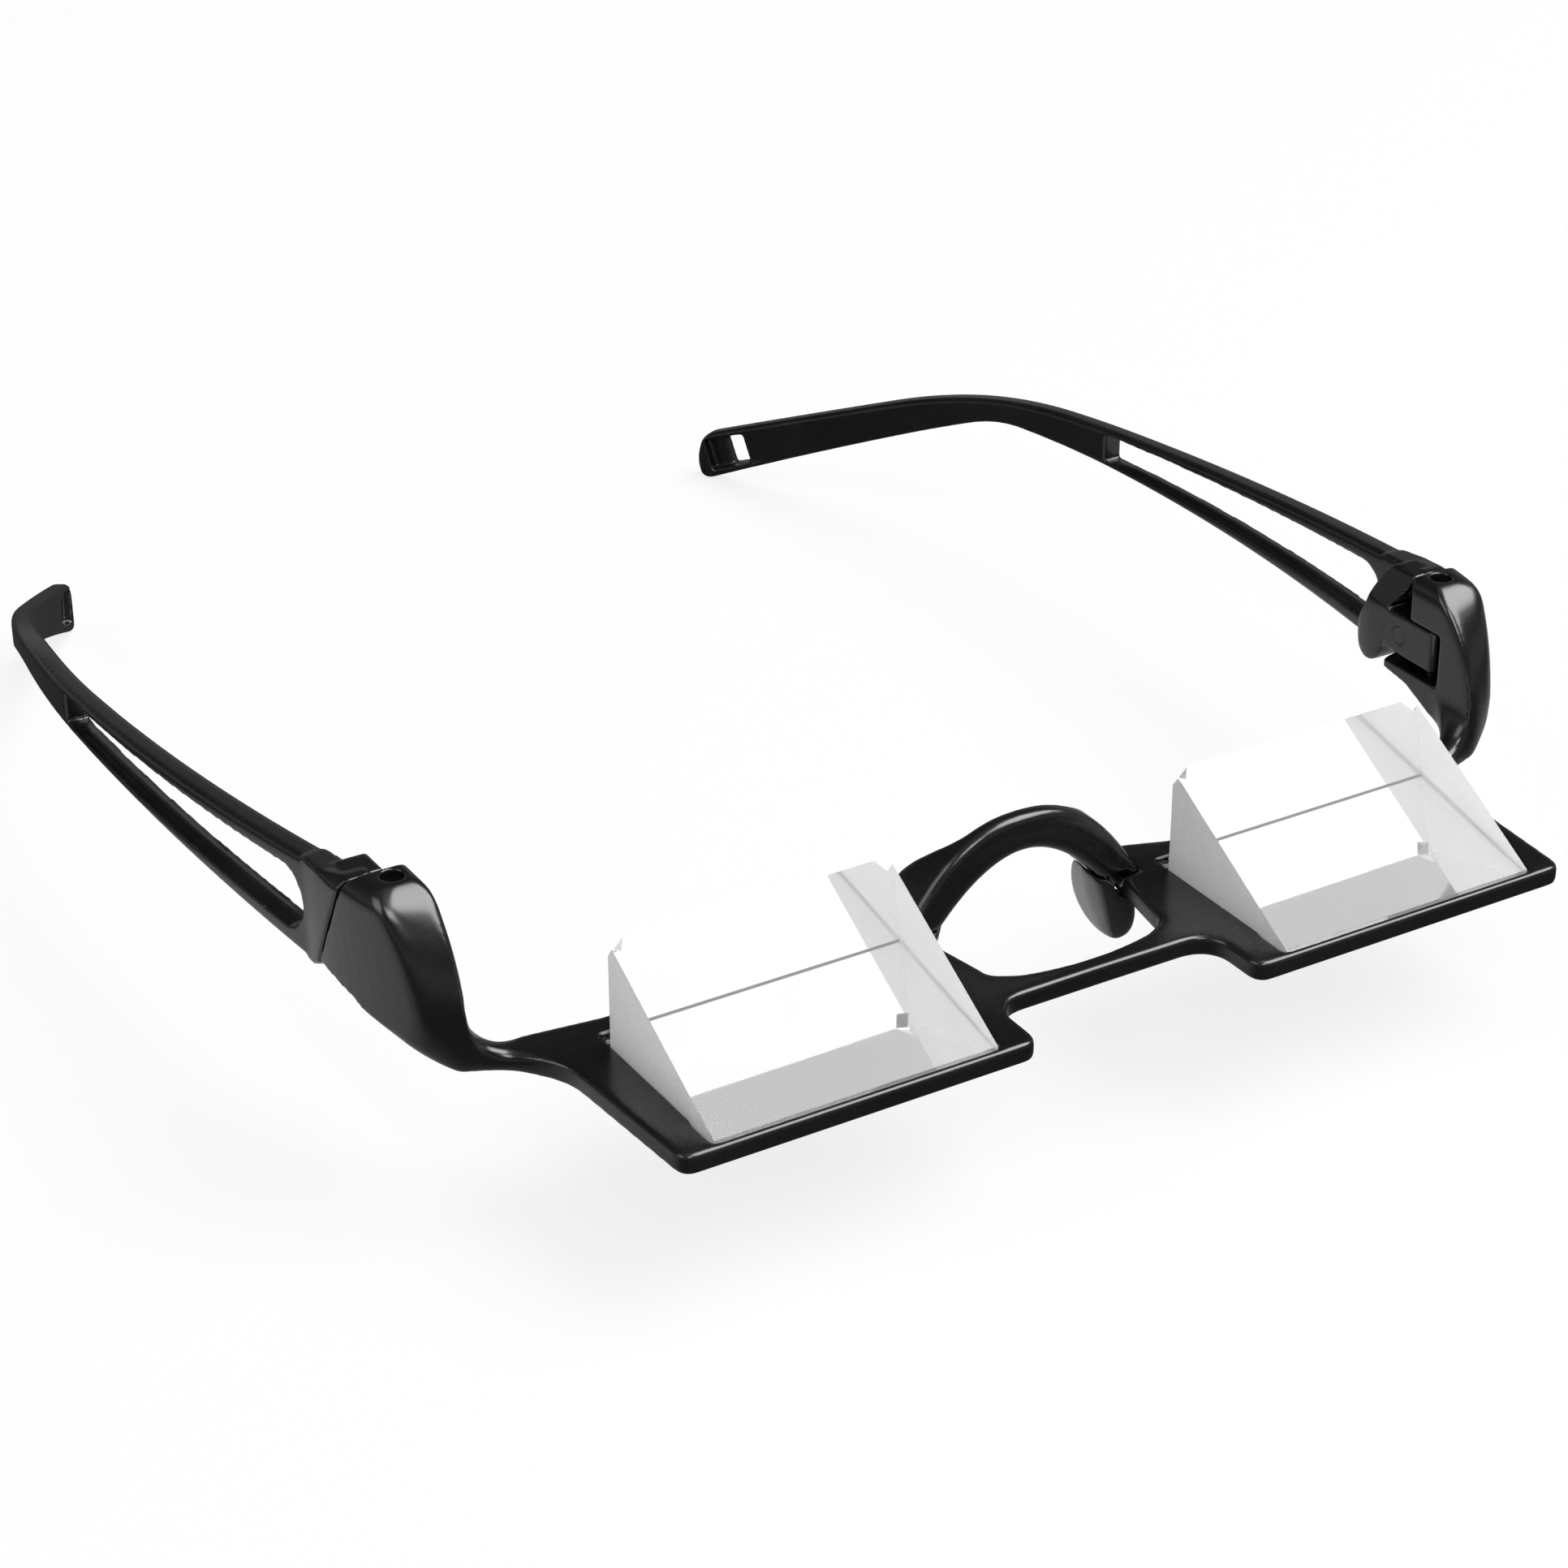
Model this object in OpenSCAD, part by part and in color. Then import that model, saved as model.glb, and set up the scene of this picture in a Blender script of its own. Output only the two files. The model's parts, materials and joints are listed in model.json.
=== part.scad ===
// Belay glasses: two wedge prisms on a moulded front turn the wearer's view upwards.
// Row frame: X to the wearer's left, Y to the back, Z up, origin in the middle of the
// underside of the bridge bar. The pieces are drawn in the shelf frame, which has its
// origin on the shelves' top face at the prisms' front edge, and are moved at the end.

/* [Prisms] */
// Width of each prism
prism_w = 33; // [28:0.5:38]
// Depth of each prism, from the front edge to the upright back face
prism_d = 20.7; // [17:0.1:24]
// Angle of the slope over the base
prism_angle = 30; // [26:1:34]
// Distance between the middles of the two prisms
prism_spacing = 69.3; // [66:0.1:76]
// Depth that each prism is sunk into its shelf
seat_depth = 0.9; // [0.5:0.1:1.1]
// Leg of the small bevel at the two top corners of each prism
chip = 1.7; // [0.6:0.1:2.5]
// Thickness of the silvered layer with its backing under each prism
mirror_t = 0.4; // [0.2:0.05:0.6]

/* [Shelves] */
// Thickness of the shelves and the bridge bar
plate_t = 2.4; // [2.2:0.1:3.6]
// Rim in front of the prisms
rim_front = 1.2; // [0.8:0.1:3]
// Rim at the temple side of each prism
rim_outer = 4.2; // [3:0.1:6]
// Rim at the nose side of each prism
rim_inner = 4.4; // [3:0.1:5]
// Free room in the pocket behind each prism
pocket_back = 2.3; // [1:0.1:3]
// Band behind the pocket
rim_back = 3; // [2:0.1:5]
// Ledge that each prism rests on, round the window in its shelf
ledge = 2.2; // [1.2:0.1:4]

/* [Bridge] */
// Distance of the bridge bar's middle behind the prisms' front edge
bar_y = 8.5; // [7:0.1:10]
// Depth of the bridge bar
bar_d = 2.3; // [2:0.1:4]
// Half width of the nose opening at the bridge bar
nose_half = 11; // [10:0.1:12]

/* [Nose saddle] */
// Height of the saddle's arch over the shelves
arch_h = 10.9; // [8:0.1:14]
// Half width of the arch outside, at its feet
arch_half = 15.3; // [14.8:0.1:16]
// Height of the arch inside
arch_in_h = 6.5; // [5:0.1:8.2]
// Half width of the arch inside, at its feet
arch_in_half = 10.4; // [10:0.1:11.6]
// Distance of the arch's front face behind the prisms' front edge
arch_y = 22; // [21:0.1:23]
// Depth of the arch at its crown
arch_d = 2.5; // [2:0.1:3.2]
// Distance that each nose pad hangs below the shelves' top face
pad_drop = 9; // [7:0.1:10]
// Rise of each nose pad above the shelves' top face
pad_rise = 3.6; // [2:0.1:4]
// Length of each nose pad, seen from above
pad_l = 7; // [6:0.1:7.4]
// Thickness of each nose pad
pad_t = 2.8; // [2.4:0.1:3.2]

/* [Hinges] */
// Distance of each hinge axis from the middle
hinge_x = 67.2; // [66:0.1:69]
// Distance of the hinge axes behind the prisms' front edge
hinge_y = 35.7; // [33:0.1:38]
// Height of the housings over the shelves
housing_h = 17; // [15:0.1:20]
// Distance of a housing's inner face from its hinge axis
cheek_in = 2.9; // [2.6:0.1:3.2]
// Distance of a housing's outer face from its hinge axis, at the axis
cheek_out = 4.2; // [4:0.1:5]
// Underside of the upper ear over the shelves
ear_top_z = 11.6; // [11:0.1:12.5]
// Top of the lower ear over the shelves
ear_low_z = 5; // [4.4:0.1:5.6]
// Gap over the tongue
tongue_gap = 0.35; // [0.3:0.05:0.6]
// Gap under the tongue
tongue_gap_low = 1.1; // [0.3:0.1:1.4]
// Gap between a housing and its temple, open
joint_gap = 0.4; // [0.35:0.05:0.6]
// Rounding of the upper ear about the hinge axis, at its inner back corner
ear_r = 3.15; // [3:0.05:3.4]

/* [Screws] */
// Diameter of each hinge screw's shank
screw_d = 1.6; // [1.4:0.1:1.8]
// Diameter of each screw's head
head_d = 2.3; // [2.1:0.1:2.6]
// Height of each screw's head
head_h = 1.2; // [0.8:0.1:1.6]
// Depth of the heads below the housings' top faces
head_sink = 2; // [1:0.1:3]
// Radial clearance of the tongue on its screw
run_gap = 0.05; // [0.02:0.01:0.09]

/* [Temples] */
// Thickness of each temple
temple_w = 3.1; // [2.6:0.1:3.6]
// Length of the gently bowed part, from the root to the end of the slot
bow_l = 60; // [50:0.5:70]
// Turn of the bowed part, in degrees
bow_turn = 8.8; // [6:0.1:10]
// Length of the first bend behind the slot
bend_l = 24; // [20:0.5:30]
// Turn of the first bend, in degrees
bend_turn = 8.5; // [4:0.5:12]
// Length of the bend over the ear
ear_l = 20; // [16:0.5:26]
// Turn of the bend over the ear, in degrees
ear_bend = 15.5; // [10:0.5:20]
// Length of the drop behind the ear
drop_l = 33.4; // [24:0.2:38]
// Turn of the drop behind the ear, in degrees
drop_turn = 3; // [0.5:0.5:10]
// Top edge of a temple over the shelves, at its root
temple_top = 15; // [14.5:0.1:15.4]
// Bottom edge of a temple over the shelves, at its root
temple_low = 2.6; // [2.4:0.1:3]
// Height of the upper rail at the front end of the slot
rail_front = 2.15; // [1.6:0.05:2.6]
// Height of the rails at the back end of the slot
rail_back = 0.75; // [0.7:0.05:1.1]
// Width of the bevel along a temple's edges
bevel = 0.5; // [0.3:0.05:0.8]
// Width of the strap slot in each temple tip, along the temple
strap_w = 3.4; // [2:0.1:3.6]
// Height of the strap slot
strap_h = 4.2; // [3:0.1:4.6]

/* [Hidden] */
$fn = 48;
eps = 0.02;                              // overshoot of a cut past a face
fit = 0.05;                              // gap between fixed pieces that lie together

black = [0.09, 0.09, 0.095];
soft_black = [0.14, 0.14, 0.15];
glass = [0.86, 0.92, 0.94, 0.6];
silver = [0.75, 0.77, 0.78];
steel = [0.35, 0.36, 0.38];

prism_h = prism_d * tan(prism_angle);    // height over the shelf
prism_in = prism_spacing / 2 - prism_w / 2;
prism_out = prism_in + prism_w;
pocket_z = -seat_depth - mirror_t - fit; // floor of the pocket
pocket_y = prism_d + pocket_back;
plate_y = pocket_y + rim_back;           // back edge of the shelves
plate_out = prism_out + rim_outer;
plate_in = prism_in - rim_inner;
front_y = -rim_front;
corner_r = 1.6;

cheek_x = hinge_x - cheek_in;            // inner face of a housing
side_r = 44;                             // bow of the housings' outer face
side_c = [hinge_x + cheek_out - sqrt(side_r * side_r - 56), hinge_y + 7.5];
horn_y = hinge_y - 10.7;                 // front face of a housing, at its inner edge
face_r = 19;                             // bow of the front face, seen from the side
face_z = 1.5;                            // height at which the front face is upright
face_slant = 0.38;                       // slant of the front face, seen from above, low down
crease_r = 1.2;                          // rounding between the front and the outer face
flare_r = 9;                             // hollow corner between shelf and housing
rear_slope = 0.5;                        // lean of the gap between housing and temple
low_slope = 0.47;                        // rise of a housing's underside
top_y = hinge_y + 2.0;                   // back edge of a housing, at its top
edge_r = 2.3;                            // rounding of a housing's outer top edge
low_line = 0.18;                         // rise of the bevel on a housing's bottom edge
tongue_r = 3;                            // rounding of the tongue about the axis
tongue_in = 2.54;                        // tongue's inner face from the axis
tongue_nose = 2.5;                       // tongue's front face from the axis
notch_y = hinge_y - 3.8;                 // front wall of the notch
notch_x = hinge_x + tongue_r + 0.15;     // outer wall of the notch
low_ear_r = 6.2;                         // rounding of the lower ear about the axis
ear_turn = 112;                          // direction in which the ears' roundings end
root_l = 9.3;                            // hinge axis to the start of the bowed part
root_y = hinge_y + 10.6;                 // where the flare's back edge meets the temple
foot_x = 13.6;                           // nose side of the ledge under a saddle foot

// Points along an arc about c, from angle a0 to a1.
function arc(c, r, a0, a1, n = 8) =
    [for (i = [0:n]) let (a = a0 + (a1 - a0) * i / n) c + r * [cos(a), sin(a)]];
function lerp(a, b, t) = a + (b - a) * t;
// Zero up to s0 - w, then a smooth bend into a line of slope m through s0.
function bend(s, s0, w, m) =
    s < s0 - w ? 0 : s > s0 + w ? m * (s - s0) : m * pow(s - s0 + w, 2) / (4 * w);
// End of an arc of length l and turn t that starts at p with heading h.
function arc_end(p, h, l, t) =
    let (r = l / (t * PI / 180)) p + r * ([cos(h + t), sin(h + t)] - [cos(h), sin(h)]);

module in_row_frame() translate([0, -bar_y, plate_t]) children();
module on_right() mirror([1, 0, 0]) children();

// A closed skin over a list of rings with the same number of points each.
module skin(rings) {
    m = len(rings[0]);
    n = len(rings);
    polyhedron(
        points = [for (r = rings) for (p = r) p],
        faces = concat(
            [[for (j = [0:m - 1]) j]],
            [for (i = [0:n - 2]) for (j = [0:m - 1]) let (k = (j + 1) % m)
                [i * m + j, (i + 1) * m + j, (i + 1) * m + k, i * m + k]],
            [[for (j = [m - 1:-1:0]) (n - 1) * m + j]]));
}

// Prisms

module prism_solid() {
    slope = [prism_d, prism_h];
    difference() {
        translate([prism_in, 0, 0]) rotate([90, 0, 90]) linear_extrude(prism_w)
            polygon([[0, -seat_depth], [prism_d, -seat_depth], slope, [0, 0]]);
        for (x = [prism_in, prism_out])
            translate([x, prism_d, prism_h]) rotate([0, x == prism_in ? 45 : -45, 0])
                rotate([45, 0, 0]) cube(chip * [1.5, 1, 1], center = true);
    }
}
module mirror_solid() {
    translate([prism_in + fit, fit, -seat_depth - mirror_t])
        cube([prism_w - 2 * fit, prism_d - 2 * fit, mirror_t]);
}
module prism_left() color(glass) in_row_frame() prism_solid();
module prism_right() color(glass) in_row_frame() on_right() prism_solid();
module mirror_left() color(silver) in_row_frame() mirror_solid();
module mirror_right() color(silver) in_row_frame() on_right() mirror_solid();

// Front frame

nose_corner = [nose_half + 0.1, bar_y + 4.6];
nose_side = [nose_half + 1.4, arch_y - 1.5];
rear_corner = [17.5, plate_y + 1.7];
web_r = 5;                               // hollow corner behind a housing's inner face
bar_bow = 33;                            // bow of the bridge bar's back edge

// Outline of one shelf with its half of the bridge bar, seen from above.
module shelf_outline() {
    r = corner_r;
    bar_front = bar_y - bar_d / 2;
    polygon(concat(
        [[0, bar_front], [nose_half - 0.5, bar_front - 0.1]],
        arc([plate_in - 3.2, bar_front - 3.3], 3.2, 90, 0),
        arc([plate_in + r, front_y + r], r, 180, 270),
        arc([plate_out - r, front_y + r], r, -90, 0),
        arc([plate_out + 1.1 + flare_r, horn_y + 0.3 - flare_r], flare_r, 180, 97),
        [[cheek_x + 0.9, horn_y + 1.4], [cheek_x + 2.4, hinge_y - 3], [cheek_x + 0.1, hinge_y - 3]],
        arc([cheek_x - web_r, plate_y + 1.2 + web_r], web_r, 0, -90),
        [[hinge_x - 10, plate_y + 1], [prism_out - 2, plate_y], [prism_in + 4, plate_y],
            rear_corner, [foot_x, foot_y], nose_side],
        arc(nose_corner + [-1.9, 0.4], 2, 10, -60),
        [for (a = [14:-3.5:0]) [bar_bow * sin(a), bar_y + bar_d / 2 + bar_bow * (1 - cos(a))]]));
}

// Outer face of the housings and the temple roots at the depth y, seen from above.
function side_x(y) = side_c.x + sqrt(side_r * side_r - pow(y - side_c.y, 2));
// Front face of a housing at its inner edge, at the height z.
function face_y(z) = horn_y + face_r - sqrt(face_r * face_r - pow(max(0, z - face_z), 2));
// Cross-section of a housing at the height z, drawn in by d at the top and bottom edges.
function housing_ring(z, d = 0) =
    let (s = face_slant * (1 - pow(max(0, z) / housing_h, 2)), rear = hinge_y + 12,
        y0 = face_y(z) + 0.4 * d, x0 = cheek_x + 0.6 * d,
        y1 = y0 + s * (side_x(y0 + 5 * s) - d - x0), x1 = side_x(y1) - d,
        r = crease_r + 0.28 * max(0, 4.5 - z), e = 0.5,
        p = [x1 - r, y0 + s * (x1 - r - x0)], q = [side_x(y1 + r) - d, y1 + r])
    concat([[x0, rear], [x0, y0 + e + 0.1], [x0 + e, y0 + 0.1]],
        [p, ([x1, y1] * 2 + p + q) / 4, q],
        [for (k = [1:10]) let (y = lerp(q.y, rear, k / 10)) [side_x(y) - d, y]]);

// Housing of one hinge, before its notch, hole and ears are cut.
module housing_body() {
    tall = housing_h + plate_t + 2;
    low = [[-plate_t, 0.8], [-plate_t + 0.35, 0.25], [-plate_t + 1, 0]];
    mid = [for (z = [0:1.1:housing_h - edge_r - 0.5]) [z, 0]];
    high = [for (a = [0:15:90]) [housing_h - edge_r * (1 - sin(a)), edge_r * (1 - cos(a))]];
    intersection() {
        skin([for (k = concat(low, mid, high))
            [for (p = housing_ring(k[0], k[1])) [p.x, p.y, k[0]]]]);
        // seen from the side: gap line to the temple
        translate([cheek_x - 9, 0, -plate_t - 1]) rotate([90, 0, 90]) linear_extrude(30)
            polygon([[0, 0], [top_y + rear_slope * (tall - 1), 0],
                [top_y + rear_slope, tall - 2], [top_y - 0.2, tall - 1.2], [top_y - 1.3, tall],
                [0, tall]]);
    }
}

// Straight back of an ear at the distance r from the axis, seen from above.
module ear_back(r, l = 7) {
    p = r * [cos(ear_turn), sin(ear_turn)];
    q = p + l * [sin(ear_turn), -cos(ear_turn)];
    polygon([[0, 0], p, q, [q.x, 0]]);
}
// Seen from above: room for the swinging temple behind an ear that is rounded about the axis.
module ear_room(r) {
    translate([hinge_x, hinge_y]) difference() {
        translate([-cheek_in - 1, 0]) square([cheek_in + tongue_r + 1, 12]);
        circle(r);
        ear_back(r - 0.25);
    }
}

// What the hinge needs free inside a housing.
module housing_cuts() {
    // notch for the tongue, round at its outer corner
    translate([0, 0, ear_low_z]) linear_extrude(ear_top_z - ear_low_z) difference() {
        translate([cheek_x - 8, notch_y]) square([notch_x - cheek_x + 8, 20]);
        translate([hinge_x, hinge_y - 9]) difference() {
            square(9);
            translate([0, 9]) circle(r = hinge_y - notch_y + 0.15);
        }
    }
    translate([0, 0, ear_top_z - eps]) linear_extrude(housing_h) ear_room(ear_r);
    translate([0, 0, -plate_t - 1]) linear_extrude(plate_t + 1 + ear_low_z + eps)
        ear_room(low_ear_r);
    // screw: sunk head, shank, thread in the lower ear
    translate([hinge_x, hinge_y, 0]) {
        translate([0, 0, housing_h - head_sink - head_h]) cylinder(d = head_d + 0.2, h = 9);
        translate([0, 0, ear_low_z]) cylinder(d = screw_d + 0.2, h = housing_h);
        translate([0, 0, ear_low_z - 2.2]) cylinder(d = screw_d + 0.02, h = 9);
    }
}

// Rising underside of the housings, and the bevel along its outer edge.
module underside_cut() {
    knee = 12.1;
    translate([hinge_x - 9, horn_y, -plate_t]) rotate([90, 0, 90]) linear_extrude(30)
        polygon([[-eps, 0], [knee, knee * low_slope], [26, knee * low_slope + 2.2],
            [26, -9], [-eps, -9]]);
    translate([hinge_x + cheek_out, hinge_y + 1, ear_low_z - 2.3])
        rotate([atan(low_line), 0, -14]) rotate([0, 45, 0])
            translate([0, -25, -20]) cube([10, 50, 40]);
}

module front_half() {
    difference() {
        union() {
            difference() {
                translate([0, 0, -plate_t]) linear_extrude(plate_t) shelf_outline();
                // pocket for the prism, window through the shelf
                translate([prism_in - 0.1, -0.1, pocket_z])
                    cube([prism_w + 0.2, pocket_y + 0.1, 9]);
                translate([prism_in + ledge, ledge, -plate_t - 1])
                    cube([prism_w - 2 * ledge, prism_d - 2 * ledge, 9]);
                // seat of the saddle's foot
                translate([0, arch_y - fit, -plate_t / 2])
                    cube([arch_half + fit, plate_y + 4 - arch_y, 9]);
            }
            housing_body();
            // hollow corner where the housing's inner face stands on the shelf
            intersection() {
                translate([cheek_x - web_r, horn_y + 9, 0]) rotate([90, 0, 0])
                    linear_extrude(14) difference() {
                        square([web_r + eps, web_r]);
                        translate([0, web_r]) circle(r = web_r);
                    }
                translate([0, 0.2, 0]) linear_extrude(web_r) shelf_outline();
            }
        }
        housing_cuts();
        underside_cut();
    }
}
module front_frame() color(black) in_row_frame() {
    front_half();
    on_right() front_half();
}

// Nose saddle: an arch on two feet, with an arm to each nose pad

foot_y = plate_y + 2.8;                  // back edge of the saddle's feet
arm_r = 0.7;
pad_x = 11.6;                            // middle of a pad at the height pad_z
pad_y = 23.8;
pad_z = -2.2;
pad_lean = 0.3;                          // shift of a pad to the nose over its height

// Point of the arch's outer (k = 1) or inner (k = 0) curve, for t from -1 to 1.
function arch_pt(k, t) =
    let (a = k == 1 ? arch_half : arch_in_half, h = k == 1 ? arch_h : arch_in_h,
        p = k == 1 ? 2.4 : 1.9, x = sin(90 * t))
    [a * x, h * (1 - pow(abs(x), p))];
// The arch grows deeper towards its feet.
function ease(u) = let (v = max(0, min(1, u))) v * v * (3 - 2 * v);
function arch_depth(t) = lerp(arch_d, foot_y - arch_y, ease((abs(t) - 0.25) / 0.36));
function arch_ring(t) =
    let (o = arch_pt(1, t), i = arch_pt(0, t), c = 0.14, y0 = arch_y, y1 = y0 + arch_depth(t),
        b = 0.5)
    [for (q = [[i, y0 + b, 0], [i, y0, c], [o, y0, -c], [o, y0 + b, 0],
            [o, y1 - b, 0], [o, y1, -c], [i, y1, c], [i, y1 - b, 0]])
        let (m = lerp(q[0], q[2] > 0 ? o : i, abs(q[2]))) [m.x, q[1], m.y]];
module saddle_foot() {
    translate([foot_x + 0.2, arch_y, -plate_t / 2 + fit])
        cube([arch_half - foot_x - 0.2, foot_y - arch_y, plate_t / 2 - fit + 0.3]);
}
// Arm that runs from the arch down into a pad, grown by g.
module pad_arm(g = 0) {
    translate([pad_x, pad_y - 0.2, pad_z]) rotate([0, -atan(pad_lean), 0])
        translate([0, 0, -3 - g]) cylinder(r = arm_r + g, h = 8);
}
module nose_saddle() color(black) in_row_frame() {
    steps = 28;
    skin([for (i = [0:steps]) arch_ring(1 - 2 * i / steps)]);
    for (s = [0, 1]) mirror([s, 0, 0]) {
        saddle_foot();
        pad_arm();
    }
}

// Nose pad: a drop of soft plastic, set at a slant to the nose
function pad_ring(z) =
    let (u = (z + pad_drop) / (pad_drop + pad_rise), full = sqrt(max(0.03, 1 - pow(2 * u - 1, 2))),
        x0 = pad_x - pad_lean * (z - pad_z), c = sqrt(0.5))
    [for (a = [0:30:330]) let (l = pad_l / 2 * full * cos(a), w = pad_t / 2 * sqrt(full) * sin(a))
        [x0 + c * (l + w), pad_y + c * (w - l), z]];
module pad_solid() {
    steps = 12;
    difference() {
        skin([for (i = [0:steps]) let (u = (1 - cos(180 * i / steps)) / 2)
            pad_ring(lerp(-pad_drop, pad_rise, u))]);
        pad_arm(fit);
        // room for the arch and for the shelf
        translate([0, arch_y - fit, 0]) rotate([90, 0, 0]) mirror([0, 0, 1]) linear_extrude(20)
            polygon(concat([for (i = [0:10]) arch_pt(0, i / 10) - [fit, fit]],
                [[arch_in_half + 20, -fit], [arch_in_half + 20, 20], [0, 20]]));
        translate([nose_side.x - 0.3, 0, -plate_t - 0.1]) cube([20, 40, 20]);
        translate([arch_in_half - 0.9, 0, -0.8]) cube([20, arch_y - 0.3, 20]);
    }
}
module nose_pad_left() color(soft_black) in_row_frame() pad_solid();
module nose_pad_right() color(soft_black) in_row_frame() on_right() pad_solid();

// Temples

start_h = -bow_turn * 0.83;              // heading where the bowed part starts
start_p = [hinge_x + 2.8, hinge_y + root_l];
bow_p = arc_end(start_p, start_h, bow_l, bow_turn);
bend_h = start_h + bow_turn;
bend_p = arc_end(bow_p, bend_h, bend_l, bend_turn);
ear_h = bend_h + bend_turn;
ear_p = arc_end(bend_p, ear_h, ear_l, ear_bend);
drop_h = ear_h + ear_bend;
ear_s = bow_l + bend_l;
drop_s = ear_s + ear_l;
temple_l = drop_s + drop_l;

function part_of(s, s0, l) = max(0, min(s - s0, l)) / l;
function heading(s) = start_h + bow_turn * part_of(s, 0, bow_l)
    + bend_turn * part_of(s, bow_l, bend_l) + ear_bend * part_of(s, ear_s, ear_l)
    + drop_turn * part_of(s, drop_s, drop_l);
function middle(s) =
    s <= 0 ? start_p + s * [-sin(start_h), cos(start_h)]
    : s <= bow_l ? arc_end(start_p, start_h, s, bow_turn * s / bow_l)
    : s <= ear_s ? arc_end(bow_p, bend_h, s - bow_l, bend_turn * (s - bow_l) / bend_l)
    : s <= drop_s ? arc_end(bend_p, ear_h, s - ear_s, ear_bend * (s - ear_s) / ear_l)
    : arc_end(ear_p, drop_h, s - drop_s, drop_turn * (s - drop_s) / drop_l);
// Top and bottom edges: nearly straight, then they fall behind the ear.
function top_z(s) = temple_top - 0.1 * s - bend(s, bow_l + 29, 16, 0.265);
function low_z(s) = temple_low + 1 - pow(s / 45 - 1, 2) - bend(s, bow_l + 26, 5, 0.355);
function across(s, u, z) =
    let (c = middle(s), h = heading(s)) [c.x + u * cos(h), c.y + u * sin(h), z];
function wide(s) = temple_w * (1 - 0.13 * s / temple_l);

function temple_ring(s) =
    let (end = max(0, s - temple_l + 2.6) / 2.6, pull = 2.6 * (1 - sqrt(max(0, 1 - end * end))),
        a = wide(s) / 2 - 0.2 * pull, t = top_z(s) - pull, b = low_z(s) + pull, c = bevel)
    [for (q = [[-a, b + c], [-a, t - c], [c - a, t], [a - c, t],
            [a, t - c], [a, b + c], [a - c, b], [c - a, b]])
        across(s, q[0], q[1])];

// The long slot tapers to the back. Its walls carry a rib along their middle.
slot_s0 = 3.3;
slot_s1 = bow_l + 3.4;
function slot_ring(s) =
    let (u = (s - slot_s0) / (slot_s1 - slot_s0),
        t = top_z(s) - lerp(rail_front, rail_back, u),
        b = low_z(s) + lerp(rail_front + 0.15, rail_back, u),
        m = (t + b) / 2, r = (t - b) / 2, d = min(1, (s - slot_s0) / r),
        k = r * sqrt(max(0.01, 1 - pow(1 - d, 2))), a = wide(s) / 2 + 0.3,
        rib = 0.36 * min(1, u * 8, 20 - u * 20) - 0.06, e = k + 0.03)
    [for (q = [[-a, -k], [-a, k], [-0.7, e], [-0.5, k - rib], [0.5, k - rib], [0.7, e],
            [a, k], [a, -k], [0.7, -e], [0.5, rib - k], [-0.5, rib - k], [-0.7, -e]])
        across(s, q[0], m + q[1])];

module temple_blade() {
    body = [for (s = [0.8:3.2:bow_l]) s];
    tail = [for (s = [bow_l + 2:2:temple_l - 3]) s];
    tip = [for (s = [temple_l - 2.6:0.65:temple_l + 0.01]) s];
    slot = concat([for (s = [0, 0.3, 1, 2, 3, 4.2]) slot_s0 + s],
        [for (s = [slot_s0 + 7:4:slot_s1 - 1]) s], [slot_s1]);
    difference() {
        skin([for (s = concat(body, tail, tip)) temple_ring(min(s, temple_l))]);
        skin([for (s = slot) slot_ring(s)]);
        strap_slot();
    }
}
// Strap slot in the tip, with a ramped hollow round it in the inner face.
module strap_slot() {
    s = temple_l - 6.6;
    droop = atan(0.36);
    p = middle(s);
    translate([p.x, p.y, (top_z(s) + low_z(s)) / 2]) rotate([0, 0, heading(s)])
        rotate([-droop, 0, 0]) {
            cube([9, strap_w, strap_h], center = true);
            translate([-wide(s) / 2 - 1, 0, 0]) rotate([0, 0, -8])
                translate([0, 0.3, 0]) cube([3.6, 9.6, strap_h + 0.3], center = true);
        }
}

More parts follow.
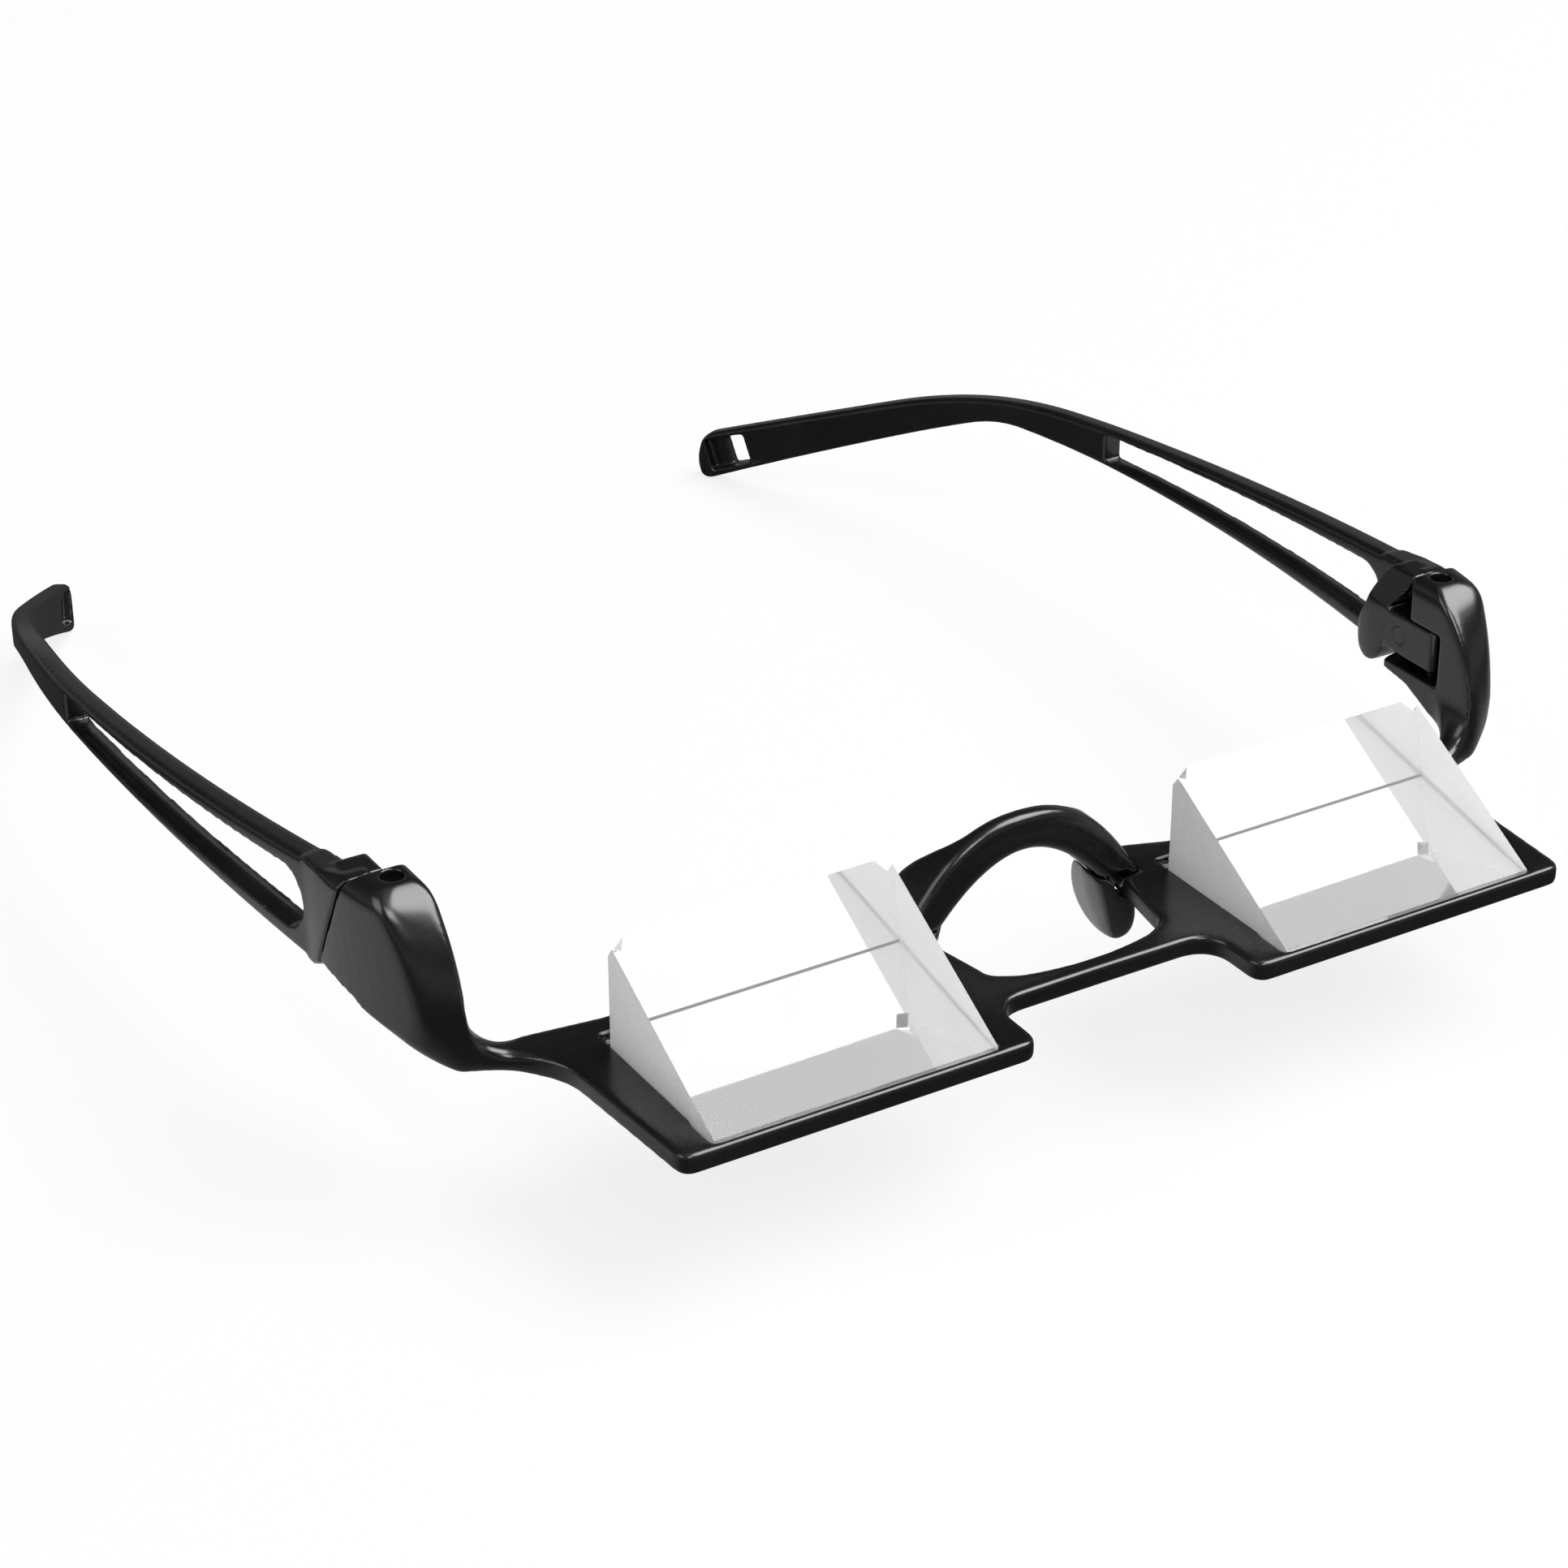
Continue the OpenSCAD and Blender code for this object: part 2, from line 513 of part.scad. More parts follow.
// Root: the block behind the housing, with a flare towards the hinge that carries the tongue.
module temple_root() {
    gap_y = top_y + joint_gap;
    inner = cheek_x + 0.3;
    low = temple_low + 0.1;
    e = middle(3);
    w = wide(3) / 2;
    h = heading(3);
    difference() {
        union() {
            // outer part, seen from above and from the side
            intersection() {
                linear_extrude(20) polygon(concat(
                    [[e.x - 0.9 - w, hinge_y + 1], [e.x - w * cos(h), e.y - w * sin(h)],
                        [e.x + w * cos(h), e.y + w * sin(h)]],
                    arc(side_c, side_r, 5, -9, 7)));
                translate([cheek_x - 6, 0, 0]) rotate([90, 0, 90]) linear_extrude(16)
                    polygon([[gap_y + rear_slope, housing_h - 1], [gap_y + 2, temple_top + 0.95],
                        [gap_y + 5, temple_top + 0.3], [e.y + 1, top_z(3)], [e.y + 1, low_z(3)],
                        [gap_y + (housing_h - low) * rear_slope + 1, low],
                        [gap_y + (housing_h - low - 0.8) * rear_slope, low + 0.8]]);
                translate([hinge_x + cheek_out + 0.5, hinge_y, 0]) rotate([90, 0, -5])
                    linear_extrude(40, center = true)
                        polygon([[-20, -9], [9, -9], [9, temple_top - 0.6], [0, temple_top - 0.6],
                            [-1.6, housing_h - 0.8], [-20, housing_h - 0.8]]);
            }
            // flare: follows the gap line above the tongue, round at its lower end
            intersection() {
                linear_extrude(housing_h) polygon([
                    [inner, gap_y + 1], [inner, root_y - 1.5], [inner + 0.5, root_y + 0.7],
                    [inner + 1.5, root_y + 2.2], [inner + 2.9, root_y + 3.4],
                    [inner + 5.45, root_y + 4.2], [inner + 5.45, gap_y - 0.8],
                    [inner + 3, gap_y - 0.8], [inner + 2.4, gap_y]]);
                translate([cheek_x - 6, 0, 0]) rotate([90, 0, 90]) linear_extrude(16)
                    polygon(concat([[root_y - 7.1, housing_h - 1.2], [root_y - 6.3, housing_h - 3.4],
                        [root_y - 4.8, ear_top_z + 0.1]],
                        arc([root_y - 0.9, 6.1], 3, 186, 350),
                        [[root_y + 2, 7.5], [root_y - 0.1, 10.6], [root_y - 2.2, temple_top],
                            [root_y - 3, housing_h - 1.2]]));
            }
        }
        // hollows round the upper and the lower ear
        translate([hinge_x, hinge_y, ear_top_z - tongue_gap]) cylinder(r = ear_r + 0.4, h = 20);
        translate([hinge_x, hinge_y, -1]) {
            cylinder(r = low_ear_r + 0.6, h = ear_low_z + tongue_gap_low + 1);
            linear_extrude(ear_low_z + tongue_gap_low + 1) ear_back(low_ear_r + 0.4, 5.8);
        }
        // the flare's inner face leans outwards above the tongue
        translate([inner, hinge_y, ear_top_z - tongue_gap]) rotate([0, 23, 0])
            translate([-9, 0, 0]) cube([9, 20, 12]);
    }
}
module tongue() {
    z0 = ear_low_z + tongue_gap_low;
    h = ear_top_z - tongue_gap - z0;
    translate([hinge_x, hinge_y, z0]) {
        cylinder(r = tongue_r, h = h);
        linear_extrude(h) {
            polygon([[-tongue_in, 0], [tongue_r, 0], [tongue_r, 7], [-tongue_in + 0.8, 8],
                [-tongue_in, 6]]);
            polygon([[-tongue_in, 0.1], [-tongue_in, 0.5 - tongue_nose],
                [0.5 - tongue_in, -tongue_nose], [-1.2, -2.75], [0, -2.9], [0, 0.1]]);
        }
    }
}
module temple_solid() {
    difference() {
        union() {
            temple_blade();
            temple_root();
            tongue();
        }
        translate([hinge_x, hinge_y, -1]) cylinder(d = screw_d + 2 * run_gap, h = 30);
    }
}
module temple_left() color(black) in_row_frame() temple_solid();
module temple_right() color(black) in_row_frame() on_right() temple_solid();

// Hinge screws: sunk slotted head, shank down into the lower ear

module screw_solid() {
    head_z = housing_h - head_sink - head_h;
    low = ear_low_z - 2;
    translate([hinge_x, hinge_y, 0]) difference() {
        union() {
            translate([0, 0, head_z]) cylinder(d = head_d, h = head_h);
            translate([0, 0, low]) cylinder(d = screw_d, h = head_z - low + eps);
        }
        translate([-head_d, -0.25, head_z + head_h - 0.5]) cube([2 * head_d, 0.5, 1]);
    }
}
module hinge_screw_left() color(steel) in_row_frame() screw_solid();
module hinge_screw_right() color(steel) in_row_frame() on_right() screw_solid();

front_frame();
prism_left();
prism_right();
mirror_left();
mirror_right();
nose_saddle();
nose_pad_left();
nose_pad_right();
temple_left();
temple_right();
hinge_screw_left();
hinge_screw_right();
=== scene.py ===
"""Belay glasses: refined pieces, materials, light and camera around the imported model.

Everything is in metres in the row frame: +Z up, +X to the wearer's left, +Y to the back.
"""
import json
import math

import bmesh
import bpy
import numpy as np
from mathutils import Matrix, Vector


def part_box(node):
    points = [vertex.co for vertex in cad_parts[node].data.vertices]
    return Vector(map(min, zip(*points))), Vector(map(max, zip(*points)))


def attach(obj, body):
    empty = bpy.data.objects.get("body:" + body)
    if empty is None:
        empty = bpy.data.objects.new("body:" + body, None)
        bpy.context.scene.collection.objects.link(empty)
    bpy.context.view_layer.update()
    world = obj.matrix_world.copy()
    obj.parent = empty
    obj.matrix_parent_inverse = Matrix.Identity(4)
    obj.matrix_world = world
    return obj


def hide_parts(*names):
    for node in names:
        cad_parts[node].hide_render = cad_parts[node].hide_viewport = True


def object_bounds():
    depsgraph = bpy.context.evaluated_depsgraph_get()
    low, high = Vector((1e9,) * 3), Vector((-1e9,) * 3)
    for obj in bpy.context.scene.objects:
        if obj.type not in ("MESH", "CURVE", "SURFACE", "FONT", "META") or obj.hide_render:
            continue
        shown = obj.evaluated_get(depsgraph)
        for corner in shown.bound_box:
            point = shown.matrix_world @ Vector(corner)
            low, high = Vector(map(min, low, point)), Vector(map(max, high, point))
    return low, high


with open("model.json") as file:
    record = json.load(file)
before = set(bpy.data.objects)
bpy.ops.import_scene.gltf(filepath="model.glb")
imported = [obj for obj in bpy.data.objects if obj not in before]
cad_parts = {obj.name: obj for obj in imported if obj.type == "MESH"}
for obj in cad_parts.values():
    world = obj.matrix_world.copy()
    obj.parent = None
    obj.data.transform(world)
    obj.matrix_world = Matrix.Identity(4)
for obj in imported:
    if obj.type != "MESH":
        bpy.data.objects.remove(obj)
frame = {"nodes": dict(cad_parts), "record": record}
cad_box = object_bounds()
NODES = frame["nodes"]
MM = 0.001

# Camera

IMAGE_PX = 1932
FOCAL_PX = 4582.94
SENSOR_MM = 36
CAMERA_AT = (-0.19948, -0.26925, 0.20139)
CAMERA_AZ, CAMERA_EL, CAMERA_ROLL = (math.radians(a) for a in (-30.955, 28.079, -0.237))


def add_camera():
    """The photograph's viewpoint: a long lens from the front, to the wearer's right."""
    az, el, roll = CAMERA_AZ, CAMERA_EL, CAMERA_ROLL
    back = Vector((math.sin(az) * math.cos(el), -math.cos(az) * math.cos(el), math.sin(el)))
    right = Vector((math.cos(az), math.sin(az), 0))
    up = back.cross(right)
    x = math.cos(roll) * right + math.sin(roll) * up
    y = -math.sin(roll) * right + math.cos(roll) * up
    data = bpy.data.cameras.new("camera")
    data.sensor_width = SENSOR_MM
    data.lens = FOCAL_PX / IMAGE_PX * SENSOR_MM
    data.clip_start, data.clip_end = 0.01, 20
    cam = bpy.data.objects.new("camera", data)
    bpy.context.scene.collection.objects.link(cam)
    turn = Matrix((x, y, back)).transposed().to_4x4()
    cam.matrix_world = Matrix.Translation(CAMERA_AT) @ turn
    bpy.context.scene.camera = cam


# Materials

RANGE = ("From Min", "From Max", "To Min", "To Max")


class Nodes:
    """Short calls for building a material's node tree."""

    def __init__(self, name):
        self.mat = bpy.data.materials.new(name)
        self.mat.use_nodes = True
        self.tree = self.mat.node_tree
        self.tree.nodes.clear()
        self.out = self.add("OutputMaterial")

    def add(self, kind, **values):
        node = self.tree.nodes.new("ShaderNode" + kind)
        for key, value in values.items():
            if key in node.inputs:
                node.inputs[key].default_value = value
            else:
                setattr(node, key, value)
        return node

    def link(self, a, b):
        self.tree.links.new(a, b)

    def coords(self):
        return self.add("TexCoord").outputs["Object"]

    def noise(self, scale, detail=3, rough=0.5, stretch=None):
        """Noise over the object's own coordinates, scale in features per metre."""
        node = self.add("TexNoise")
        node.inputs["Scale"].default_value = scale
        node.inputs["Detail"].default_value = detail
        node.inputs["Roughness"].default_value = rough
        source = self.coords()
        if stretch:
            mapping = self.add("Mapping")
            mapping.inputs["Scale"].default_value = stretch
            self.link(source, mapping.inputs["Vector"])
            source = mapping.outputs["Vector"]
        self.link(source, node.inputs["Vector"])
        return node.outputs["Fac"]

    def ramp(self, value, low, high, to_low, to_high):
        """value from low..high mapped to to_low..to_high, kept inside."""
        node = self.add("MapRange")
        for key, number in zip(RANGE, (low, high, to_low, to_high)):
            node.inputs[key].default_value = number
        self.link(value, node.inputs["Value"])
        return node.outputs["Result"]

    def math(self, kind, a, b):
        node = self.add("Math", operation=kind)
        for socket, value in zip(node.inputs, (a, b)):
            if isinstance(value, (int, float)):
                socket.default_value = value
            else:
                self.link(value, socket)
        return node.outputs[0]

    def mix(self, fac, a, b):
        """Two colours mixed by fac."""
        node = self.add("Mix", data_type="RGBA")
        self.link(fac, node.inputs["Factor"])
        node.inputs["A"].default_value = (*a, 1)
        node.inputs["B"].default_value = (*b, 1)
        return node.outputs["Result"]

    def bump(self, heights):
        """Bumps stacked from pairs of height and distance in metres."""
        normal = None
        for height, distance in heights:
            node = self.add("Bump")
            node.inputs["Distance"].default_value = distance
            self.link(height, node.inputs["Height"])
            if normal:
                self.link(normal, node.inputs["Normal"])
            normal = node.outputs["Normal"]
        return normal

    def edge_wear(self, low=0.505, high=0.53):
        """Rises from 0 to 1 on edges that stand out."""
        return self.ramp(self.add("NewGeometry").outputs["Pointiness"], low, high, 0, 1)


def principled(nodes, **values):
    node = nodes.add("BsdfPrincipled")
    for key, value in values.items():
        node.inputs[key].default_value = value
    nodes.link(node.outputs["BSDF"], nodes.out.inputs["Surface"])
    return node


# Hinge axes and the flat tongues that turn on them, in millimetres
HINGE_X, HINGE_Y = 67.2, 27.2
TONGUE_IN, TONGUE_LOW, TONGUE_TOP = 2.54, 8.5, 13.65
EJECTOR_AT, EJECTOR_R = (30.9, 10.9), 1.1


def ejector_ring(n):
    """Thin ring that an ejector pin left on the inner face of each tongue."""
    place = n.add("SeparateXYZ")
    n.link(n.coords(), place.inputs[0])
    x, y, z = place.outputs
    dy = n.math("SUBTRACT", y, EJECTOR_AT[0] * MM)
    dz = n.math("SUBTRACT", z, EJECTOR_AT[1] * MM)
    out = n.math("SQRT", n.math("ADD", n.math("MULTIPLY", dy, dy), n.math("MULTIPLY", dz, dz)), 0)
    off = n.math("ABSOLUTE", n.math("SUBTRACT", out, EJECTOR_R * MM), 0)
    side = n.math("SUBTRACT", n.math("ABSOLUTE", x, 0), (HINGE_X - TONGUE_IN) * MM)
    near = n.ramp(n.math("ABSOLUTE", side, 0), 0.0003, 0.0005, 1, 0)
    return n.math("MULTIPLY", n.ramp(off, 0.00006, 0.00016, 1, 0), near)


def black_plastic(name, colour, rough, grain):
    """Moulded black plastic: fine grain, faint flow marks, edges rubbed smoother."""
    n = Nodes(name)
    shader = principled(n, **{"IOR": 1.5, "Specular IOR Level": 0.8})
    flow = n.noise(90, 4, 0.55)
    fine = n.noise(9000, 2, 0.5)
    lighter = tuple(c * 1.7 for c in colour)
    n.link(n.mix(n.ramp(flow, 0.35, 0.7, 0, 1), colour, lighter), shader.inputs["Base Color"])
    worn = n.math("MULTIPLY", n.edge_wear(), -0.125 * rough)
    level = n.ramp(flow, 0.3, 0.7, rough * 0.88, rough * 1.12)
    speck = n.ramp(fine, 0.3, 0.7, -0.03, 0.03)
    n.link(n.math("ADD", n.math("ADD", level, speck), worn), shader.inputs["Roughness"])
    heights = [(flow, 0.00001), (fine, grain), (ejector_ring(n), 0.00012)]
    n.link(n.bump(heights), shader.inputs["Normal"])
    return n.mat


def soft_pad(name):
    """Soft matt pad plastic, dark, with a painted reflection: light grey on the faces turned to the
    nose.
    """
    n = Nodes(name)
    shader = principled(n, **{"IOR": 1.45})
    cloud = n.noise(400, 4, 0.6)
    fine = n.noise(9000, 2, 0.5)
    turn, place = n.add("SeparateXYZ"), n.add("SeparateXYZ")
    n.link(n.add("TexCoord").outputs["Normal"], turn.inputs[0])
    n.link(n.coords(), place.inputs[0])
    # painted reflection: faces that turn to the nose and to the back get grey
    inward = n.math("MULTIPLY", n.math("SIGN", place.outputs["X"], 0), turn.outputs["X"])
    painted_sheen = n.math("ADD", n.math("MULTIPLY", inward, -0.92),
                    n.math("MULTIPLY", turn.outputs["Y"], 0.38))
    painted_sheen = n.math("ADD", painted_sheen, n.math("MULTIPLY", n.math("SUBTRACT", cloud, 0.5), 0.12))
    n.link(n.mix(n.ramp(painted_sheen, 0.3, 0.6, 0, 1), (0.01, 0.01, 0.011), (0.3, 0.3, 0.305)),
           shader.inputs["Base Color"])
    n.link(n.ramp(cloud, 0.3, 0.7, 0.3, 0.4), shader.inputs["Roughness"])
    n.link(n.bump([(fine, 0.000003)]), shader.inputs["Normal"])
    return n.mat


def prism_glass(name):
    """Clear polished glass with the faint marks of handling; its two side faces are ground."""
    n = Nodes(name)
    clear = n.add("BsdfPrincipled", **{"Base Color": (1, 1, 1, 1), "IOR": 1.49,
                                       "Transmission Weight": 1.0})
    smear = n.noise(120, 5, 0.6)
    n.link(n.ramp(smear, 0.5, 0.8, 0.0, 0.012), clear.inputs["Roughness"])
    grit = n.noise(4000, 3, 0.6)
    tone = n.mix(n.ramp(grit, 0.3, 0.7, 0, 1), (0.66, 0.66, 0.665), (0.75, 0.75, 0.755))
    ground = n.add("MixShader", Fac=0.3)
    for slot, kind in enumerate(("BsdfDiffuse", "BsdfTranslucent"), 1):
        shader = n.add(kind)
        n.link(tone, shader.inputs["Color"])
        n.link(shader.outputs[0], ground.inputs[slot])
    # the ground faces look to the sides
    turn = n.add("SeparateXYZ")
    n.link(n.add("TexCoord").outputs["Normal"], turn.inputs[0])
    side = n.ramp(n.math("ABSOLUTE", turn.outputs["X"], 0), 0.9, 0.95, 0, 1)
    both = n.add("MixShader")
    n.link(side, both.inputs["Fac"])
    n.link(clear.outputs[0], both.inputs[1])
    n.link(ground.outputs[0], both.inputs[2])
    n.link(both.outputs[0], n.out.inputs["Surface"])
    return n.mat


MIRROR_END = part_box("mirror_left")[1][1]


def silver_layer(name):
    """Silvered mirror layer with its slightly uneven protective coat."""
    n = Nodes(name)
    shader = principled(n, **{"Metallic": 1.0})
    cloud = n.noise(160, 4, 0.6)
    silver = n.mix(n.ramp(cloud, 0.3, 0.7, 0, 1), (0.96, 0.962, 0.965), (0.94, 0.943, 0.947))
    # darker along the back edge: a near-black band on the silver
    place = n.add("SeparateXYZ")
    n.link(n.coords(), place.inputs[0])
    edge = n.add("Mix", data_type="RGBA")
    n.link(n.ramp(place.outputs["Y"], MIRROR_END - 0.00024, MIRROR_END - 0.00016, 0, 1),
           edge.inputs["Factor"])
    n.link(silver, edge.inputs["A"])
    edge.inputs["B"].default_value = (0.02, 0.02, 0.02, 1)
    n.link(edge.outputs["Result"], shader.inputs["Base Color"])
    n.link(n.ramp(cloud, 0.3, 0.7, 0.02, 0.06), shader.inputs["Roughness"])
    return n.mat


def dark_steel(name):
    """Blackened steel with turning marks and rubbed bright edges."""
    n = Nodes(name)
    shader = principled(n, **{"Metallic": 1.0})
    marks = n.noise(900, 3, 0.6, stretch=(1, 1, 9))
    dark, bright = (0.06, 0.06, 0.065), (0.3, 0.3, 0.31)
    n.link(n.mix(n.edge_wear(0.5, 0.6), dark, bright), shader.inputs["Base Color"])
    n.link(n.ramp(marks, 0.3, 0.7, 0.28, 0.45), shader.inputs["Roughness"])
    n.link(n.bump([(marks, 0.00001)]), shader.inputs["Normal"])
    return n.mat


# Pieces


def body_of(node):
    return next(b for b, nodes in frame["record"]["behaviour"]["bodies"].items() if node in nodes)


def copy_of(node, name):
    """A new object in millimetres with the welded mesh of a CAD node."""
    mesh = NODES[node].data.copy()
    mesh.name = name
    mesh.materials.clear()
    bm = bmesh.new()
    bm.from_mesh(mesh)
    bmesh.ops.scale(bm, vec=(1 / MM,) * 3, verts=bm.verts)
    bmesh.ops.remove_doubles(bm, verts=bm.verts, dist=0.002)
    bm.to_mesh(mesh)
    bm.free()
    piece = bpy.data.objects.new(name, mesh)
    bpy.context.scene.collection.objects.link(piece)
    return piece


def apply_modifiers(piece):
    """Keeps the evaluated mesh as the piece's own and drops the modifiers."""
    graph = bpy.context.evaluated_depsgraph_get()
    mesh = bpy.data.meshes.new_from_object(piece.evaluated_get(graph))
    piece.modifiers.clear()
    piece.data = mesh


def settle(piece, node, material, smooth=True):
    """Back to metres, with material and body, hiding the node that the piece stands for."""
    piece.data.transform(Matrix.Scale(MM, 4))
    piece.data.materials.clear()
    piece.data.materials.append(material)
    for polygon in piece.data.polygons:
        polygon.use_smooth = smooth
    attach(piece, body_of(node))
    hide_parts(node)


def corners(mesh):
    """The mesh's vertices as rows of x, y and z, with x counted outwards on both sides."""
    at = np.empty(len(mesh.vertices) * 3)
    mesh.vertices.foreach_get("co", at)
    at = at.reshape(-1, 3)
    return at, np.abs(at[:, 0]), at[:, 1], at[:, 2]


def ease(value, low, high):
    """0 at low, 1 at high, with soft ends."""
    t = np.clip((value - low) / (high - low), 0, 1)
    return t * t * (3 - 2 * t)


def flush_tongue(mesh):
    """Brings the round end of a temple's tongue level with the tongue's flat inner face."""
    at, x, y, z = corners(mesh)
    face = HINGE_X - TONGUE_IN
    end = ((x < face) & (x > face - 1) & (abs(y - HINGE_Y) < 3.1)
           & (z > TONGUE_LOW - 0.1) & (z < TONGUE_TOP + 0.1))
    at[end, 0] = np.sign(at[end, 0]) * face
    mesh.vertices.foreach_set("co", at.ravel())


# Where a pad would stand in front of the arch: x from, y up to, z from
PAD_TIP = (10.8, 13.5, 1.6)


def trim_pad(mesh):
    """Takes off the tip of a pad that stands in front of the arch."""
    at, x, y, z = corners(mesh)
    tip = (y < PAD_TIP[1]) & (x > PAD_TIP[0]) & (z > PAD_TIP[2])
    at[tip, 2] = PAD_TIP[2]
    mesh.vertices.foreach_set("co", at.ravel())


# Ground that each prism's pocket takes up in x and y, and the fade round it
POCKET, POCKET_FADE = ((17.2, 52.1), (-4, 15.4)), 0.8


def front_rounding(x, y, z):
    """Broad edges on the front body, crisp ones round the hinges and the pockets."""
    hinge = ease(y, 21.5, 24.5) * ease(x, 56, 60)
    pocket = 1
    for at, (low, high) in zip((x, y), POCKET):
        pocket = pocket * ease(at, low - POCKET_FADE, low)
        pocket = pocket * (1 - ease(at, high, high + POCKET_FADE))
    return 1 - 0.9 * np.maximum(hinge, pocket)


def temple_rounding(x, y, z):
    """Broad edges along a temple, crisp ones at its joint with the front body."""
    return 1 - 0.85 * (1 - ease(y, 29, 33))


# Where each housing runs into its shelf: middle, reach
HORNS = [((64.6, 16.2, 2.2), 7.5), ((66.5, 17.5, 0.5), 6)]


def horn_rounding(x, y, z):
    """The run from each housing into its shelf, fading outwards."""
    near = [1 - ease(np.sqrt((x - c[0]) ** 2 + (y - c[1]) ** 2 + (z - c[2]) ** 2), 0.3 * r, r)
            for c, r in HORNS]
    return np.max(near, axis=0)


# Where each temple's flare runs out of its tongue: middle, reach
FLARE, FLARE_REACH = (66, 38.5, 10), 6.5


def flare_rounding(x, y, z):
    """The flare that carries a temple's tongue, up to the crisp gap at the hinge."""
    far = np.sqrt((x - FLARE[0]) ** 2 + (y - FLARE[1]) ** 2 + (z - FLARE[2]) ** 2)
    return (1 - ease(far, 0.5 * FLARE_REACH, FLARE_REACH)) * ease(y, 33, 36)


SHARE_STEPS = 12


def soften(piece, share, rounds):
    """Rounds the piece's edges by as many rounds as share gives at each place."""
    _, x, y, z = corners(piece.data)
    steps = np.rint(np.clip(share(x, y, z), 0, 1) * SHARE_STEPS).astype(int)
    group = piece.vertex_groups.new(name="share")
    for step in range(1, SHARE_STEPS + 1):
        group.add(np.nonzero(steps == step)[0].tolist(), step / SHARE_STEPS, "REPLACE")
    smooth = piece.modifiers.new("smooth", "SMOOTH")
    smooth.factor = 0.5
    smooth.iterations = rounds
    smooth.vertex_group = "share"
    apply_modifiers(piece)
    piece.vertex_groups.clear()


def moulded(node, name, material, voxel, rounds, keep, reshape=None, shares=()):
    """The node's shape with every edge rounded, as a moulded part has them."""
    piece = copy_of(node, name)
    if reshape:
        reshape(piece.data)
    remesh = piece.modifiers.new("remesh", "REMESH")
    remesh.mode = "VOXEL"
    remesh.voxel_size = voxel
    remesh.adaptivity = 0
    smooth = piece.modifiers.new("smooth", "SMOOTH")
    smooth.factor = 0.5
    smooth.iterations = rounds
    apply_modifiers(piece)
    for share, more in shares:
        soften(piece, share, more)
    thin = piece.modifiers.new("thin", "DECIMATE")
    thin.ratio = keep
    apply_modifiers(piece)
    settle(piece, node, material)


# Depth of the glass base in the silver layer, and the bevel along the glass edges
GLASS_SINK, BEVEL_WIDTH = 0.05, 0.12


def polished(node, name, material):
    """The node's flat faces with a fine bevel on each edge, its base on the silver layer."""
    piece = copy_of(node, name)
    bm = bmesh.new()
    bm.from_mesh(piece.data)
    bmesh.ops.dissolve_limit(bm, angle_limit=math.radians(1), verts=bm.verts, edges=bm.edges)
    base = min(v.co.z for v in bm.verts)
    for v in bm.verts:
        if v.co.z < base + 0.01:
            v.co.z -= GLASS_SINK
    bm.to_mesh(piece.data)
    bm.free()
    bevel = piece.modifiers.new("bevel", "BEVEL")
    bevel.width = BEVEL_WIDTH
    bevel.segments = 2
    bevel.limit_method = "ANGLE"
    bevel.angle_limit = math.radians(15)
    bevel.harden_normals = True
    apply_modifiers(piece)
    settle(piece, node, material, smooth=False)


# Voxel and share of the rounds for a full and a quick build; the pads are always built in full
FULL, QUICK = (0.16, 1), (0.3, 0.3)
PAD_VOXEL, PAD_ROUNDS = 0.12, 140
FRONT_ROUNDS, HORN_ROUNDS, SADDLE_ROUNDS, TEMPLE_ROUNDS, FLARE_ROUNDS = 96, 400, 90, 24, 120
FIRST_ROUNDS, KEEP, KEEP_PAD = 5, 0.35, 0.5


def add_pieces():
    frame_black = black_plastic("frame_black", (0.0035, 0.0035, 0.0038), 0.25, 0.0000015)
    pad_with_painted_sheen = soft_pad("pad_plastic")
    glass = prism_glass("prism_glass")
    silver = silver_layer("silver_backing")
    steel = dark_steel("screw_steel")
    fine, k = FULL
    moulded("front_frame", "front_frame_moulded", frame_black, fine, FIRST_ROUNDS, KEEP,
            shares=[(front_rounding, int(FRONT_ROUNDS * k)), (horn_rounding, int(HORN_ROUNDS * k))])
    moulded("nose_saddle", "nose_saddle_moulded", frame_black, fine, int(SADDLE_ROUNDS * k), KEEP)
    for side in ("left", "right"):
        moulded("temple_" + side, "temple_" + side + "_moulded", frame_black, fine, FIRST_ROUNDS,
                KEEP, flush_tongue, [(temple_rounding, int(TEMPLE_ROUNDS * k)),
                                     (flare_rounding, int(FLARE_ROUNDS * k))])
        moulded("nose_pad_" + side, "nose_pad_" + side + "_soft", pad_with_painted_sheen, PAD_VOXEL, PAD_ROUNDS,
                KEEP_PAD, trim_pad)
        polished("prism_" + side, "prism_" + side + "_polished", glass)
        NODES["mirror_" + side].data.materials.clear()
        NODES["mirror_" + side].data.materials.append(silver)
        screw = NODES["hinge_screw_" + side]
        screw.data.materials.clear()
        screw.data.materials.append(steel)


# Stage

FLOOR_SIZE = 6
FLOOR_COLOUR = (0.9, 0.9, 0.9)
BACKDROP = (0.96, 0.96, 0.96)
# White share of the floor near the object, and the distances over which it grows to 1
FLOOR_WHITE, WHITENS = 0.87, (0.4, 2.5)
# Painted shade on the floor as seen in gloss: where it brightens and darkens along y, and its
# brightness
GLOSS_SHADE_FRONT, GLOSS_SHADE_BACK = (-0.01, 0.035), (0.08, 0.13)
GLOSS_SHADE_LEVEL, GLOSS_BAND_LEVEL = 0.07, 0.56
# The room's light by the sine of the height: pale up to the first, dark from the second
PALE_TO, DARK_FROM = 0.2, 0.36
PALE, DARK = (0.27, 0.27, 0.27), (0.04, 0.04, 0.042)
# Light that reaches the glass from the front and the back, by the direction's y
IN_FRONT, BEHIND = 0.85, 0.3
TURN_TO_BACK = 0.3
